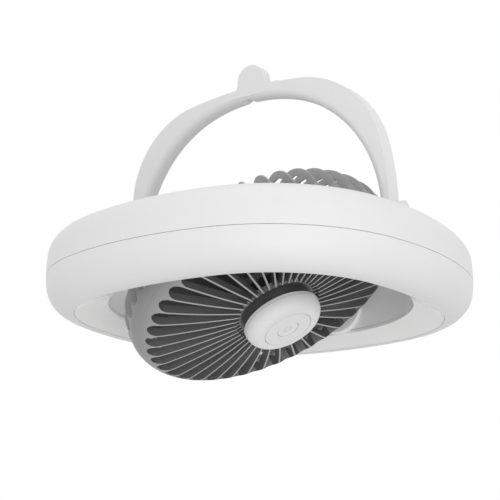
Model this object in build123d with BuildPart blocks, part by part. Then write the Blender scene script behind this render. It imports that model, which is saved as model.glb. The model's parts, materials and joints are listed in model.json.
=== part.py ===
from build123d import *
import os
from math import acos, asin, atan2, cos, degrees, radians, sin, sqrt, tan

os.makedirs("parts", exist_ok=True)

# Hanging ring fan. The origin is the apex of the notch under the handle's arch, where a hook carries it.
# +Z is up, +X points at one handle leg and +Y lies along the axis on which the fan head tilts.
# Heights and radii below are counted from the centre of the ring, stations from the centre of the head.

# Ring housing: a rounded square seen from above
RING_HALF_WIDTH = 125.0
RING_HALF_DIAGONAL = 131.45
RING_CORNER_R = 100.0
SIDE_R = 80.0
SIDE_BULGE = 7.0
SIDE_MID_Z = -2.0
TOP_EDGE_R = 15.9
BOTTOM_EDGE_R = 16.9
SEAM_Z = -5.3
SEAM_GAP = 0.3
WALL = 2.2
LIP_INSET = 18.0
BORE_R = 93.4
BORE_ROUND_R = 8.5
BORE_LIP_Z = 10.0

# Underside opening and its light cone
OPENING_HALF_WIDTH = 105.0
OPENING_HALF_DIAGONAL = 113.6
OPENING_CORNER_R = 75.0
CONE_TOP_Z = -19.1
CONE_WALL = 2.0

# Handle arch, drawn in its own leaning plane
BAIL_LEAN = 5.4
BAIL_SHIFT_Y = -4.0
BAIL_BASE_Z = 26.0
BAIL_WIDTH = 11.8
BAIL_OUTER = dict(half_width=97.4, rise=11.5, leg_r=154.8, leg_turn=12.4, shoulder_r=61.2, shoulder_turn=81.6)
BAIL_INNER = dict(half_width=90.5, rise=0.5, leg_r=99.3, leg_turn=9.6, shoulder_r=82.9, shoulder_turn=72.6)
PIVOT_Z = 24.5
EYE_R = 5.8
NOTCH_WIDTH = 8.6
NOTCH_DEPTH = 4.0
NOTCH_FRONT = 4.1
TAB_X = 5.0
TAB_R = 10.0
TAB_HEIGHT = 14.3
TAB_THICKNESS = 7.7
TAB_FLARE_R = 4.0
BAIL_ROUND_R = 4.5

# Handle pivot
SCREW_R = 2.5
SCREW_HEAD_R = 3.8
SCREW_HEAD_HEIGHT = 2.4
RUNNING = 0.05
LUG_GAP = 0.5
LUG_THICKNESS = 6.6
LUG_R = 5.5

# Fan head: a domed cage of revolution that tilts inside the ring
HEAD_TILT = 30.0
FRONT_EDGE = (72.5, 5.0)
FRONT_EDGE_R = 16.0
FRONT_APEX_S = 26.8
REAR_EDGE = (64.5, 1.0)
REAR_EDGE_R = 24.0
REAR_APEX_S = -27.0
CAGE_R = 88.5
CAGE_SEAM_S = 13.0
CAGE_SEAM_GAP = 0.05
FIN_COUNT = 42
FIN_WIDTH = 1.1
FIN_PHASE = -1.3
FRONT_FIN_DEPTH = 5.5
REAR_FIN_DEPTH = 4.2
HUB_RING_R = 24.5
FRONT_SLOT_END_R = 83.1
REAR_HUB_R = 30.5
PLATE_R = 28.0

# Hub, cap and keys on the front of the head
HUB_FLOOR_S = 20.0
GROOVE_S = 23.4
GROOVE_R = 27.5
TONGUE_S = 9.5
TONGUE_R = 84.2
NECK_R = 22.0
NECK_BORE_R = 18.0
NECK_TOP_S = 29.6
COLLAR_R = 24.7
COLLAR_TOP_S = 32.3
KEY_BOARD_S = 30.8
BOARD_T = 1.2
SWITCH_CIRCLE_R = 11.0
CAP_FACE_R = 19.4
CAP_FACE_S = 40.5
CAP_WALL = 1.5
CAP_UNDER_S = CAP_FACE_S - CAP_WALL
SELECTOR_R = 15.05
BUTTON_R = 6.7
KEY_GAP = 0.3
KEY_HOLE_R = SELECTOR_R + KEY_GAP
KEY_STEM_S = 35.4
FLANGE_S = CAP_UNDER_S - 0.75
KEY_WIRE_R = 12.0

# Tilt pivots
PIVOT_DISC_R = 19.0
PIVOT_DISC_Y = 89.6
AXLE_R = 5.0
AXLE_BORE_R = 3.0
AXLE_INNER_Y = 84.0
AXLE_OUTER_Y = 106.0
SPIGOT_R = 9.5
SPIGOT_END_Y = 102.0
SEAT_R = 9.0
SEAT_INNER_Y = 79.5
SEAT_OUTER_Y = 88.9
SPRING_WASHER_T = 0.8
PIVOT_CLEAR = 9.0

# Motor and impeller
PLATE_S = REAR_APEX_S + REAR_FIN_DEPTH
FLANGE_TOP_S = PLATE_S + 1.6
DRIVER_BOARD_S = PLATE_S + 3.0
MOTOR_SCREW_R = 16.0
SHAFT_R = 1.5
SHAFT_END_S = -17.0
CIRCLIP_S = -15.0
BEARING_R = 4.0
BEARING_WIDTH = 4.0
REAR_BEARING_S = -14.0
TUBE_R = 6.0
TUBE_TOP_S = 5.0
STATOR_R = 17.8
STATOR_HUB_R = 9.0
STATOR_TEETH = 9
TOOTH_MID_R = 12.0
TOOTH_WIDTH = 3.0
STACK_S = -6.0
STACK_HEIGHT = 9.0
COIL_OVERHANG = 2.0
MAGNET_INNER_R = 18.3
CAN_INNER_R = 21.6
CAN_R = 22.4
CAN_TOP_S = 9.0
CAN_SKIRT_S = -8.0
IMPELLER_HUB_R = 24.4
IMPELLER_R = 75.0
BLADE_COUNT = 7
BLADE_THICKNESS = 1.6
# radius, chord, pitch and camber of a blade at its root, middle and tip
BLADE_STATIONS = ((22.9, 24, 48, 2.5), (48, 33, 36, 3.5), (78, 38, 27, 4.0))

# Posts and screws that close the ring
POST_CIRCLE_R = 112.0
POST_ANGLES = (20, 70, 110, 160, 200, 250, 290, 340)
CELL_R = 9.2
CELL_LENGTH = 65.0
CELL_CIRCLE_R = 106.2
CELL_Z = 3.0
CRADLE_WIDTH = 10.0
CRADLE_LENGTH = 36.0

# Control board across the corner that holds the charging socket
BOARD_AZIMUTH = 135
BOARD_POST_R = 110.0
BOARD_POST_X = 17.0
RING_WIRE_R = 0.7

# Reference frames
lean_up = Vector(0, -sin(radians(BAIL_LEAN)), cos(radians(BAIL_LEAN)))
lean_back = Vector(0, cos(radians(BAIL_LEAN)), sin(radians(BAIL_LEAN)))
bail_offset = Vector(0, BAIL_SHIFT_Y, BAIL_BASE_Z)


def crown(half_width, rise, leg_r, leg_turn, shoulder_r, shoulder_turn):
    """Ends of the leg and shoulder arcs, and the crown arc that closes them over the middle."""
    leg_centre = Vector(half_width - leg_r, rise)
    leg_end = leg_centre + Vector(leg_r, 0).rotate(Axis.Z, leg_turn)
    shoulder_centre = leg_centre + Vector(leg_r - shoulder_r, 0).rotate(Axis.Z, leg_turn)
    shoulder_end = shoulder_centre + Vector(shoulder_r, 0).rotate(Axis.Z, shoulder_turn)
    crown_r = shoulder_end.X / cos(radians(shoulder_turn))
    crown_centre = Vector(0, shoulder_end.Y - crown_r * sin(radians(shoulder_turn)))
    return leg_centre, shoulder_centre, crown_centre, crown_r


outer_top = crown(**BAIL_OUTER)[2].Y + crown(**BAIL_OUTER)[3]
inner_top = crown(**BAIL_INNER)[2].Y + crown(**BAIL_INNER)[3]
notch_apex = bail_offset + lean_up * (inner_top + NOTCH_DEPTH) + lean_back * (BAIL_WIDTH / 4)
ring_centre = -notch_apex
pivot = ring_centre + bail_offset + lean_up * ((PIVOT_Z - BAIL_BASE_Z) / cos(radians(BAIL_LEAN)))

BAIL = Plane(origin=ring_centre + bail_offset, x_dir=(1, 0, 0), z_dir=-lean_back)
RING = Plane(origin=ring_centre)
RING_SECTION = Plane(origin=ring_centre, x_dir=(1, 0, 0), z_dir=(0, -1, 0))
RING_AXIS = Axis(ring_centre, (0, 0, 1))
facing_dir = Vector(sin(radians(HEAD_TILT)), 0, -cos(radians(HEAD_TILT)))
HEAD = Plane(origin=ring_centre, x_dir=(0, 1, 0), z_dir=facing_dir)
HEAD_SECTION = Plane(origin=ring_centre, x_dir=(0, 1, 0), z_dir=-HEAD.y_dir)
HEAD_AXIS = Axis(ring_centre, facing_dir)


def level(z):
    """Plane parallel to the ring at a height above its centre."""
    return RING.offset(z)


def station(s):
    """Plane square to the fan's axis, s millimetres in front of its centre."""
    return HEAD.offset(s)


def ring_radial(azimuth, z=0.0):
    """Plane square to a radius of the ring, its X axis tangential and its Y axis up."""
    outward = Vector(1, 0, 0).rotate(Axis.Z, azimuth)
    tangent = Vector(0, 1, 0).rotate(Axis.Z, azimuth)
    return Plane(origin=ring_centre + Vector(0, 0, z), x_dir=tangent, z_dir=outward)


def tilt_plane(side, distance):
    """Plane square to the head's tilt axis at a distance from the centre, facing away from it."""
    return Plane(origin=ring_centre + Vector(0, side * distance, 0), x_dir=(1, 0, 0), z_dir=(0, side, 0))


def leg_plane(side, distance):
    """Plane square to the handle's pivot at a distance from the middle, facing away from it."""
    return Plane(origin=(side * distance, pivot.Y, pivot.Z), x_dir=(0, 1, 0), z_dir=(side, 0, 0))


def turned(x, y, angle):
    """A sketch point turned about the sketch's origin."""
    point = Vector(x, y).rotate(Axis.Z, angle)
    return (point.X, point.Y)


def rounded_square(half_width, half_diagonal, corner_r, inset=0.0):
    """Tangent arcs for four flattened sides and four corners, from the middle of the +X side round."""
    c = (half_diagonal - corner_r) / sqrt(2)
    side_r = (corner_r**2 - (c - half_width) ** 2 - c**2) / (2 * (c - half_width + corner_r))
    side_c = half_width - side_r
    half = degrees(atan2(c, c - side_c))
    CenterArc((side_c, 0), side_r - inset, 0, half)
    for turn in range(0, 360, 90):
        corner = turned(c, c, turn)
        side = turned(side_c, 0, turn + 90)
        CenterArc(corner, corner_r - inset, turn + half, 90 - 2 * half)
        CenterArc(side, side_r - inset, turn + 90 - half, half if turn == 270 else 2 * half)


def split_circle(radius, half):
    """A circle cut at the same turns as a rounded square, so that the two can be lofted."""
    CenterArc((0, 0), radius, 0, half)
    for turn in range(0, 360, 90):
        CenterArc((0, 0), radius, turn + half, 90 - 2 * half)
        CenterArc((0, 0), radius, turn + 90 - half, half if turn == 270 else 2 * half)


def chords(centre, radius, start, turn, count):
    """Straight runs along an arc, as smooth as a fin's thin edge or a hidden inner side needs."""
    turns = [radians(start + turn * step / count) for step in range(count + 1)]
    return Polyline(*[(centre[0] + radius * cos(a), centre[1] + radius * sin(a)) for a in turns])


def shell_section(up, edge_r, seam_z):
    """One housing wall from the parting line round its edge to the flat lip; up is 1 or -1."""
    side_x = RING_HALF_WIDTH - SIDE_R
    bulge = up * SIDE_BULGE
    reach = SIDE_R - edge_r
    edge_c = (side_x + reach * cos(radians(bulge)), SIDE_MID_Z + reach * sin(radians(bulge)))
    seam_out = degrees(asin((seam_z - SIDE_MID_Z) / SIDE_R))
    seam_in = degrees(asin((seam_z - SIDE_MID_Z) / (SIDE_R - WALL)))
    side = CenterArc((side_x, SIDE_MID_Z), SIDE_R, seam_out, bulge - seam_out)
    edge = CenterArc(edge_c, edge_r, bulge, up * 90 - bulge)
    lip = Line(edge @ 1, (RING_HALF_WIDTH - LIP_INSET - 3, (edge @ 1).Y))
    end = Line(lip @ 1, (lip @ 1) - Vector(0, up * WALL))
    inner_edge = chords(edge_c, edge_r - WALL, up * 90, bulge - up * 90, 4)
    Line(end @ 1, inner_edge @ 0)
    inner_side = chords((side_x, SIDE_MID_Z), SIDE_R - WALL, bulge, seam_in - bulge, 1)
    Line(inner_side @ 1, side @ 0)


top_z = SIDE_MID_Z + (SIDE_R - TOP_EDGE_R) * sin(radians(SIDE_BULGE)) + TOP_EDGE_R
bottom_z = SIDE_MID_Z - (SIDE_R - BOTTOM_EDGE_R) * sin(radians(SIDE_BULGE)) - BOTTOM_EDGE_R
upper_seam_z = SEAM_Z + SEAM_GAP / 2
lower_seam_z = SEAM_Z - SEAM_GAP / 2

with BuildLine(RING) as ring_outline:
    rounded_square(RING_HALF_WIDTH, RING_HALF_DIAGONAL, RING_CORNER_R)

posts = [turned(POST_CIRCLE_R, 0, angle) for angle in POST_ANGLES]
lug_x = BAIL_OUTER["half_width"] + LUG_GAP

# Upper shell of the ring: outer wall, flat top, rounded inner lip, screw wells, and the two handle lugs
with BuildPart() as ring_upper_shell:
    with BuildSketch(RING_SECTION):
        with BuildLine():
            shell_section(1, TOP_EDGE_R, upper_seam_z)
        make_face()
    sweep(path=ring_outline.line)
    with BuildSketch(level(top_z - WALL)):
        with BuildLine():
            rounded_square(RING_HALF_WIDTH, RING_HALF_DIAGONAL, RING_CORNER_R, LIP_INSET)
        make_face()
        Circle(BORE_R + BORE_ROUND_R, mode=Mode.SUBTRACT)
    extrude(amount=WALL)
    with BuildSketch(RING_SECTION):
        with BuildLine():
            round_c = (BORE_R + BORE_ROUND_R, top_z - BORE_ROUND_R)
            bead = CenterArc(round_c, BORE_ROUND_R, 90, 90)
            lip = Line(bead @ 1, (BORE_R, BORE_LIP_Z))
            foot = Line(lip @ 1, (BORE_R + WALL, BORE_LIP_Z))
            inner_bead = chords(round_c, BORE_ROUND_R - WALL, 180, -90, 3)
            Line(foot @ 1, inner_bead @ 0)
            Line(inner_bead @ 1, bead @ 0)
        make_face()
    revolve(axis=RING_AXIS)
    # screw posts with deep wells for the heads
    with BuildSketch(level(upper_seam_z)):
        with Locations(*posts):
            Circle(4.8)
    extrude(amount=top_z - 1 - upper_seam_z)
    with BuildSketch(level(top_z)):
        with Locations(*posts):
            Circle(3.2)
    extrude(amount=-12, mode=Mode.SUBTRACT)
    with BuildSketch(level(top_z)):
        with Locations(*posts):
            Circle(1.6)
    extrude(amount=-40, mode=Mode.SUBTRACT)
    # solid seats under the lugs, the troughs that the legs fold into, and the lugs
    for end in (1, -1):
        with BuildSketch(level(top_z - WALL - 5)):
            with Locations((end * (BORE_R + WALL + 5.5), pivot.Y - ring_centre.Y)):
                Rectangle(11, 46)
        extrude(amount=5 + WALL / 2)
    trough_plane = Plane(origin=(0, pivot.Y, ring_centre.Z), x_dir=(0, 1, 0), z_dir=(1, 0, 0))
    with BuildSketch(trough_plane):
        Polygon((-25, 30), (-25, top_z + 0.2), (-9, PIVOT_Z - 6.8), (9, PIVOT_Z - 6.8), (25, top_z + 0.2), (25, 30),
                align=None)
    extrude(amount=lug_x, both=True, mode=Mode.SUBTRACT)
    for end in (1, -1):
        with BuildSketch(leg_plane(end, lug_x)):
            Circle(LUG_R)
            Polygon((-LUG_R, 0), (LUG_R, 0), (LUG_R, -end * 10), (-LUG_R, -end * 10), align=None)
        extrude(amount=LUG_THICKNESS)
    with BuildSketch(leg_plane(1, 0)):
        Circle(SCREW_R)
    extrude(amount=lug_x + LUG_THICKNESS, both=True, mode=Mode.SUBTRACT)
    # two posts that hold the control board down
    with BuildSketch(ring_radial(BOARD_AZIMUTH).offset(BOARD_POST_R - 2)):
        with Locations((-BOARD_POST_X, top_z / 2 - 0.5), (BOARD_POST_X, top_z / 2 - 0.5)):
            Rectangle(4, top_z - 1)
    extrude(amount=4)
    # opening for the charging socket, on the corner away from the hook's front
    with BuildSketch(ring_radial(BOARD_AZIMUTH, 1.6)):
        SlotOverall(9.6, 3.8)
    extrude(amount=140, mode=Mode.SUBTRACT)
ring_upper_shell.part.label = "ring_upper_shell"
export_step(ring_upper_shell.part, "parts/ring_upper_shell.step")

# Lower shell: outer wall, bottom lip with the opening, tongue behind the parting line, screw posts
with BuildPart() as ring_lower_shell:
    with BuildSketch(RING_SECTION):
        with BuildLine():
            shell_section(-1, BOTTOM_EDGE_R, lower_seam_z)
        make_face()
        tongue_x = RING_HALF_WIDTH - WALL
        with BuildLine():
            Polyline((tongue_x - 1.4, -10), (tongue_x + 0.3, -10), (tongue_x + 0.3, lower_seam_z - 0.3),
                     (tongue_x - 0.3, lower_seam_z - 0.3), (tongue_x - 0.3, SEAM_Z + 2.5),
                     (tongue_x - 1.4, SEAM_Z + 2.5), close=True)
        make_face()
    sweep(path=ring_outline.line)
    with BuildSketch(level(bottom_z)):
        with BuildLine():
            rounded_square(OPENING_HALF_WIDTH, OPENING_HALF_DIAGONAL, OPENING_CORNER_R)
        make_face()
    extrude(amount=WALL + 0.5, mode=Mode.SUBTRACT)
    with BuildSketch(level(bottom_z + 1)):
        with Locations(*posts):
            Circle(3.4)
    extrude(amount=lower_seam_z - bottom_z - 1)
    # each post carries a short shelf under the lamp board
    for angle in POST_ANGLES:
        with BuildSketch(ring_radial(angle, -18)):
            Rectangle(2.0, 6.8)
        extrude(amount=POST_CIRCLE_R)
        with BuildSketch(ring_radial(angle, -18)):
            Rectangle(3.0, 8)
        extrude(amount=105, mode=Mode.SUBTRACT)
    with BuildSketch(level(lower_seam_z)):
        with Locations(*posts):
            Circle(1.55)
    extrude(amount=-14, mode=Mode.SUBTRACT)
ring_lower_shell.part.label = "ring_lower_shell"
export_step(ring_lower_shell.part, "parts/ring_lower_shell.step")

# Band round the opening, with a round hole for each pivot spigot
with BuildPart() as inner_wall:
    with BuildSketch(RING_SECTION):
        with Locations((BORE_R + WALL / 2, (CONE_TOP_Z + CONE_WALL + BORE_LIP_Z) / 2)):
            Rectangle(WALL, BORE_LIP_Z - CONE_TOP_Z - CONE_WALL - 0.4)
    revolve(axis=RING_AXIS)
    with BuildSketch(tilt_plane(1, 0)):
        Circle(SPIGOT_R)
    extrude(amount=110, both=True, mode=Mode.SUBTRACT)
inner_wall.part.label = "inner_wall"
export_step(inner_wall.part, "parts/inner_wall.step")


def opening_turn():
    """Half the turn of one flattened side of the opening's outline."""
    c = (OPENING_HALF_DIAGONAL - OPENING_CORNER_R) / sqrt(2)
    run = c - OPENING_HALF_WIDTH
    side_r = (OPENING_CORNER_R**2 - run**2 - c**2) / (2 * (run + OPENING_CORNER_R))
    return degrees(atan2(c, run + side_r))


def cone_solid(base_z):
    """Solid between the rounded square of the opening and the round top edge of the light cone."""
    with BuildPart() as cone:
        with BuildSketch(level(base_z)):
            with BuildLine():
                rounded_square(OPENING_HALF_WIDTH, OPENING_HALF_DIAGONAL, OPENING_CORNER_R, 0.2)
            make_face()
        with BuildSketch(level(base_z + CONE_TOP_Z - bottom_z)):
            with BuildLine():
                split_circle(BORE_R, opening_turn())
            make_face()
        loft(ruled=True)
    return cone.part


# Translucent light cone between the bottom lip and the inner band
with BuildPart() as light_diffuser:
    add(cone_solid(bottom_z + CONE_WALL))
    with BuildSketch(level(bottom_z + 0.2)):
        with BuildLine():
            rounded_square(OPENING_HALF_WIDTH, OPENING_HALF_DIAGONAL, OPENING_CORNER_R, 0.2)
        make_face()
    extrude(amount=CONE_WALL)
    with BuildSketch(level(bottom_z + WALL + 0.1)):
        with BuildLine():
            rounded_square(OPENING_HALF_WIDTH, OPENING_HALF_DIAGONAL, OPENING_CORNER_R, -1.6)
        make_face()
        with Locations(*posts):
            Circle(3.8, mode=Mode.SUBTRACT)
    extrude(amount=1.4)
    add(cone_solid(bottom_z), mode=Mode.SUBTRACT)
    with BuildSketch(level(CONE_TOP_Z - 1)):
        Circle(BORE_R)
    extrude(amount=6, mode=Mode.SUBTRACT)
light_diffuser.part.label = "light_diffuser"
export_step(light_diffuser.part, "parts/light_diffuser.step")

# Lamp board and its lamps, shining down on the cone
LAMP_BOARD_Z = -14.4
with BuildPart() as led_board:
    with BuildSketch(level(LAMP_BOARD_Z)):
        Circle(108)
        Circle(97, mode=Mode.SUBTRACT)
    extrude(amount=1.6)
led_board.part.label = "led_board"
export_step(led_board.part, "parts/led_board.step")

with BuildPart() as leds:
    with BuildSketch(level(LAMP_BOARD_Z)):
        with PolarLocations(102.5, 24, start_angle=7.5):
            Rectangle(2.8, 3.5)
    extrude(amount=-0.8)
leds.part.label = "leds"
export_step(leds.part, "parts/leds.step")

# Two lithium cells on opposite corners, each under a saddle that hangs from the top
CELL_ANGLES = (45, 225)


def cell_plane(angle, along):
    """Plane square to a cell's axis at a distance along it from the cell's middle."""
    return Plane(
        origin=ring_centre + Vector(CELL_CIRCLE_R, -along, CELL_Z).rotate(Axis.Z, angle),
        x_dir=Vector(1, 0, 0).rotate(Axis.Z, angle),
        z_dir=Vector(0, -1, 0).rotate(Axis.Z, angle),
    )


with BuildPart() as battery_cells:
    for angle in CELL_ANGLES:
        with BuildSketch(cell_plane(angle, -CELL_LENGTH / 2)):
            Circle(CELL_R)
        extrude(amount=CELL_LENGTH - 1)
        with BuildSketch(cell_plane(angle, CELL_LENGTH / 2 - 1)):
            Circle(2.8)
        extrude(amount=1)
battery_cells.part.label = "battery_cells"
export_step(battery_cells.part, "parts/battery_cells.step")

cradle_height = top_z - WALL - CELL_Z
with BuildPart() as battery_cradles:
    for angle in CELL_ANGLES:
        with BuildSketch(cell_plane(angle, -CRADLE_LENGTH / 2)):
            with Locations((0, cradle_height / 2)):
                Rectangle(CRADLE_WIDTH, cradle_height)
            Circle(CELL_R, mode=Mode.SUBTRACT)
        extrude(amount=CRADLE_LENGTH)
battery_cradles.part.label = "battery_cradles"
export_step(battery_cradles.part, "parts/battery_cradles.step")

# Control board with a wire connector, and the charging socket on it
with BuildPart() as main_board:
    with BuildSketch(ring_radial(BOARD_AZIMUTH, -0.8).offset(98.5)):
        Rectangle(56, 1.6)
    extrude(amount=23.5)
    with BuildSketch(ring_radial(BOARD_AZIMUTH, 2).offset(102)):
        with Locations((-24, 0)):
            Rectangle(7, 4)
    extrude(amount=8)
main_board.part.label = "main_board"
export_step(main_board.part, "parts/main_board.step")

with BuildPart() as usb_socket:
    with BuildSketch(ring_radial(BOARD_AZIMUTH, 1.6).offset(121.5)):
        SlotOverall(9.0, 3.2)
    extrude(amount=7.6)
    with BuildSketch(ring_radial(BOARD_AZIMUTH, 1.6).offset(122.5)):
        SlotOverall(8.3, 2.5)
        Rectangle(6.6, 0.7, mode=Mode.SUBTRACT)
    extrude(amount=8, mode=Mode.SUBTRACT)
usb_socket.part.label = "usb_socket"
export_step(usb_socket.part, "parts/usb_socket.step")

# Screws up the ring's posts, driven from above
with BuildPart() as case_screws:
    with BuildSketch(level(top_z - 12)):
        with Locations(*posts):
            Circle(2.9)
    extrude(amount=2.2)
    with BuildSketch(level(top_z - 10.8)):
        with Locations(*posts):
            RegularPolygon(1.4, 6)
    extrude(amount=2, mode=Mode.SUBTRACT)
    with BuildSketch(level(top_z - 12)):
        with Locations(*posts):
            Circle(1.5)
    extrude(amount=-25)
case_screws.part.label = "case_screws"
export_step(case_screws.part, "parts/case_screws.step")

# White discs that carry the head, each with a spigot through the inner band
with BuildPart() as pivot_bosses:
    for side in (1, -1):
        with BuildSketch(tilt_plane(side, PIVOT_DISC_Y)):
            Circle(PIVOT_DISC_R)
        extrude(amount=6)
    with BuildSketch(level(-30)):
        Circle(BORE_R - 0.05)
    extrude(amount=60, mode=Mode.INTERSECT)
    disc_faces = pivot_bosses.faces().filter_by(GeomType.PLANE)
    chamfer(disc_faces.edges().filter_by(GeomType.CIRCLE), length=1.0)
    for side in (1, -1):
        with BuildSketch(tilt_plane(side, PIVOT_DISC_Y + 1.4)):
            Circle(SPIGOT_R)
        extrude(amount=SPIGOT_END_Y - PIVOT_DISC_Y - 1.4)
    with BuildSketch(tilt_plane(1, 0)):
        Circle(AXLE_R + RUNNING)
    extrude(amount=110, both=True, mode=Mode.SUBTRACT)
pivot_bosses.part.label = "pivot_bosses"
export_step(pivot_bosses.part, "parts/pivot_bosses.step")

# Shoulder screws that join the handle's legs to the lugs, and their washers
screw_head_x = BAIL_INNER["half_width"] + 0.3
screw_seat_x = screw_head_x + SCREW_HEAD_HEIGHT
with BuildPart() as handle_pivot_screws:
    for end in (1, -1):
        with BuildSketch(leg_plane(end, screw_head_x)):
            Circle(SCREW_HEAD_R - 0.3)
        extrude(amount=SCREW_HEAD_HEIGHT)
        with BuildSketch(leg_plane(end, screw_head_x)):
            RegularPolygon(1.6, 6)
        extrude(amount=1.4, mode=Mode.SUBTRACT)
        with BuildSketch(leg_plane(end, screw_seat_x)):
            Circle(SCREW_R)
        extrude(amount=lug_x + LUG_THICKNESS - screw_seat_x)
handle_pivot_screws.part.label = "handle_pivot_screws"
export_step(handle_pivot_screws.part, "parts/handle_pivot_screws.step")

with BuildPart() as handle_friction_washers:
    for end in (1, -1):
        with BuildSketch(leg_plane(end, BAIL_OUTER["half_width"] + RUNNING)):
            Circle(5.0)
            Circle(SCREW_R, mode=Mode.SUBTRACT)
        extrude(amount=LUG_GAP - RUNNING)
handle_friction_washers.part.label = "handle_friction_washers"
export_step(handle_friction_washers.part, "parts/handle_friction_washers.step")


def arch_outline(half_width, rise, leg_r, leg_turn, shoulder_r, shoulder_turn, foot):
    """Closed outline under one side of the arch: straight leg, leg, shoulder and crown arcs, mirrored."""
    leg_c, shoulder_c, crown_c, crown_r = crown(half_width, rise, leg_r, leg_turn, shoulder_r, shoulder_turn)
    Line((half_width, foot), (half_width, rise))
    CenterArc((leg_c.X, leg_c.Y), leg_r, 0, leg_turn)
    CenterArc((shoulder_c.X, shoulder_c.Y), shoulder_r, leg_turn, shoulder_turn - leg_turn)
    CenterArc((0, crown_c.Y), crown_r, shoulder_turn, 180 - 2 * shoulder_turn)
    CenterArc((-shoulder_c.X, shoulder_c.Y), shoulder_r, 180 - shoulder_turn, shoulder_turn - leg_turn)
    CenterArc((-leg_c.X, leg_c.Y), leg_r, 180 - leg_turn, leg_turn)
    Line((-half_width, rise), (-half_width, foot))
    Line((-half_width, foot), (half_width, foot))

# Handle: one arched strap with round eyes at its feet, a hanging tab on the front half of its crown
# and the hook's notch under it, open to the back. Its inner side is rounded, its outer side keeps a crisp edge.
with BuildPart() as handle_bail:
    foot = (PIVOT_Z - BAIL_BASE_Z) / cos(radians(BAIL_LEAN))
    with BuildSketch(BAIL):
        with BuildLine():
            arch_outline(**BAIL_OUTER, foot=foot)
        make_face()
        with BuildLine():
            arch_outline(**BAIL_INNER, foot=foot)
        make_face(mode=Mode.SUBTRACT)
    extrude(amount=BAIL_WIDTH / 2, both=True)
    inner_radii = (BAIL_INNER["leg_r"], BAIL_INNER["shoulder_r"], crown(**BAIL_INNER)[3])
    arcs = handle_bail.edges().filter_by(GeomType.CIRCLE)
    fillet([arc for arc in arcs if min(abs(arc.radius - r) for r in inner_radii) < 0.01], radius=BAIL_ROUND_R)
    with BuildSketch(BAIL.offset(BAIL_WIDTH / 2)):
        with Locations((TAB_X, outer_top + TAB_HEIGHT - TAB_R)):
            Circle(TAB_R)
        with Locations((TAB_X, outer_top + (TAB_HEIGHT - TAB_R) / 2 - 1)):
            Rectangle(2 * TAB_R, TAB_HEIGHT - TAB_R + 2)
        with Locations((TAB_X, outer_top - 3)):
            Rectangle(4 * TAB_R, 5)
        fillet(vertices().filter_by(lambda v: abs(abs(v.X - TAB_X) - TAB_R) + abs(v.Y - outer_top + 0.5) < 0.1),
               radius=TAB_FLARE_R)
    extrude(amount=-TAB_THICKNESS)
    with BuildSketch(BAIL.offset(NOTCH_FRONT)):
        Polygon((-NOTCH_WIDTH / 2, inner_top - 0.6), (NOTCH_WIDTH / 2, inner_top - 0.6), (0, inner_top + NOTCH_DEPTH),
                align=None)
    extrude(amount=-NOTCH_FRONT - BAIL_WIDTH, mode=Mode.SUBTRACT)
    for end in (1, -1):
        with BuildSketch(leg_plane(end, BAIL_INNER["half_width"])):
            Circle(BAIL_WIDTH / 2)
        extrude(amount=BAIL_OUTER["half_width"] - BAIL_INNER["half_width"])
        with BuildSketch(leg_plane(end, BAIL_INNER["half_width"] - 1)):
            Circle(SCREW_HEAD_R)
        extrude(amount=screw_seat_x + RUNNING - BAIL_INNER["half_width"] + 1, mode=Mode.SUBTRACT)
    with BuildSketch(leg_plane(1, 0)):
        Circle(SCREW_R + RUNNING)
    extrude(amount=RING_HALF_WIDTH, both=True, mode=Mode.SUBTRACT)
handle_bail.part.label = "handle_bail"
export_step(handle_bail.part, "parts/handle_bail.step")


def dome_radius(edge, edge_r, apex_s):
    """Radius of the dome that meets the cage's rounded edge and crosses the fan's axis at its apex."""
    rise = abs(apex_s - edge[1])
    return (edge[0] ** 2 + rise**2 - edge_r**2) / (2 * (rise - edge_r))


front_dome_r = dome_radius(FRONT_EDGE, FRONT_EDGE_R, FRONT_APEX_S)
front_dome_c = FRONT_APEX_S - front_dome_r
rear_dome_r = dome_radius(REAR_EDGE, REAR_EDGE_R, REAR_APEX_S)
rear_dome_c = REAR_APEX_S + rear_dome_r
front_turn = degrees(atan2(FRONT_EDGE[1] - front_dome_c, FRONT_EDGE[0]))
rear_turn = degrees(atan2(REAR_EDGE[1] - rear_dome_c, REAR_EDGE[0]))
fin_pitch = 360 / FIN_COUNT

# Outline of one gap between two straight fins, in plan: parallel to each fin, rounded at the rim
half_pitch = radians(fin_pitch / 2)


def gap_half_width(r):
    """Half the width of a gap at radius r, so that the fins keep their thickness all the way."""
    return r * tan(half_pitch) - FIN_WIDTH / 2 / cos(half_pitch)


def front_gap():
    """Wedge between two fins with a full round at its outer end."""
    round_c = (FRONT_SLOT_END_R + FIN_WIDTH / 2) / (1 + sin(half_pitch))
    round_r = round_c * sin(half_pitch) - FIN_WIDTH / 2
    round_turn = 90 + degrees(half_pitch)
    end = chords((round_c, 0), round_r, -round_turn, 2 * round_turn, 6)
    Polyline(end @ 1, (HUB_RING_R, gap_half_width(HUB_RING_R)), (HUB_RING_R, -gap_half_width(HUB_RING_R)), end @ 0)


with BuildSketch() as gap_plan:
    with BuildLine():
        front_gap()
    make_face()

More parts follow.
